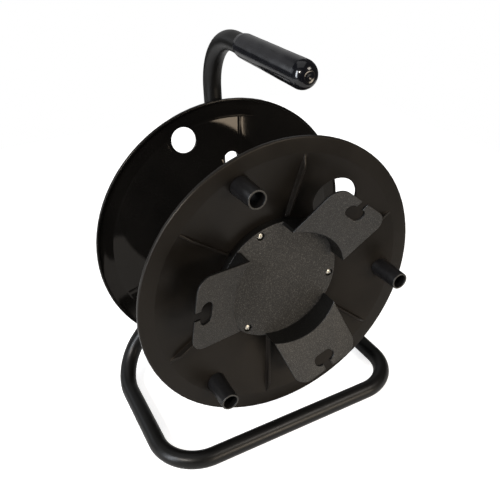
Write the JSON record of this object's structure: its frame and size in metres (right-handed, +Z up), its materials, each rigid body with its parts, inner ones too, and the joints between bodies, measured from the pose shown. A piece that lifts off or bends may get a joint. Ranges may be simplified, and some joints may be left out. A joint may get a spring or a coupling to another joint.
{
  "type": "extension cord reel",
  "caption": "Hand-wound cord reel: a dished black spool with tabbed hub plate and pegs, turning on a bent-tube floor stand with a carry handle.",
  "frame": {"origin": "centre of the footprint on the floor (bottom centre of the overall box)", "axes": "+Z up; -Y towards the hub plate, pegs and grip nose; +X to the right seen from that side; the axle runs along Y at Z = 0.182 m"},
  "size_m": [0.3096, 0.2122, 0.4114],
  "materials": {
    "black_moulding": "satin",
    "grey_moulding": "matte",
    "peg_moulding": "satin",
    "black_paint": "satin",
    "black_vinyl": "gloss",
    "zinc": "satin",
    "nylon": "satin"
  },
  "bodies": {
    "stand": {"base_frame": "black_paint", "handle_post": "black_paint", "hand_grip": "black_vinyl", "axle_bolt": "zinc", "frame_washer": "zinc", "clamp_nut": "zinc", "spacer_sleeve": "zinc", "rear_washer": "zinc", "front_washer": "zinc", "lock_nut": "zinc"},
    "spool": {"front_flange": "black_moulding", "rear_flange": "black_moulding", "drum_barrel": "black_moulding", "front_bush": "nylon", "rear_bush": "nylon", "hub_plate": "grey_moulding", "hub_screw_1": "zinc", "hub_screw_2": "zinc", "hub_screw_3": "zinc", "drum_screw_1": "zinc", "drum_screw_2": "zinc", "drum_screw_3": "zinc", "winding_peg_1": "peg_moulding", "winding_peg_2": "peg_moulding", "winding_peg_3": "peg_moulding"}
  },
  "joints": [
    {"name": "spool_spin", "type": "hinge", "parent": "stand", "child": "spool", "pos_m": [0, 0, 0.182], "axis": [0, -1, 0], "continuous": true}
  ]
}
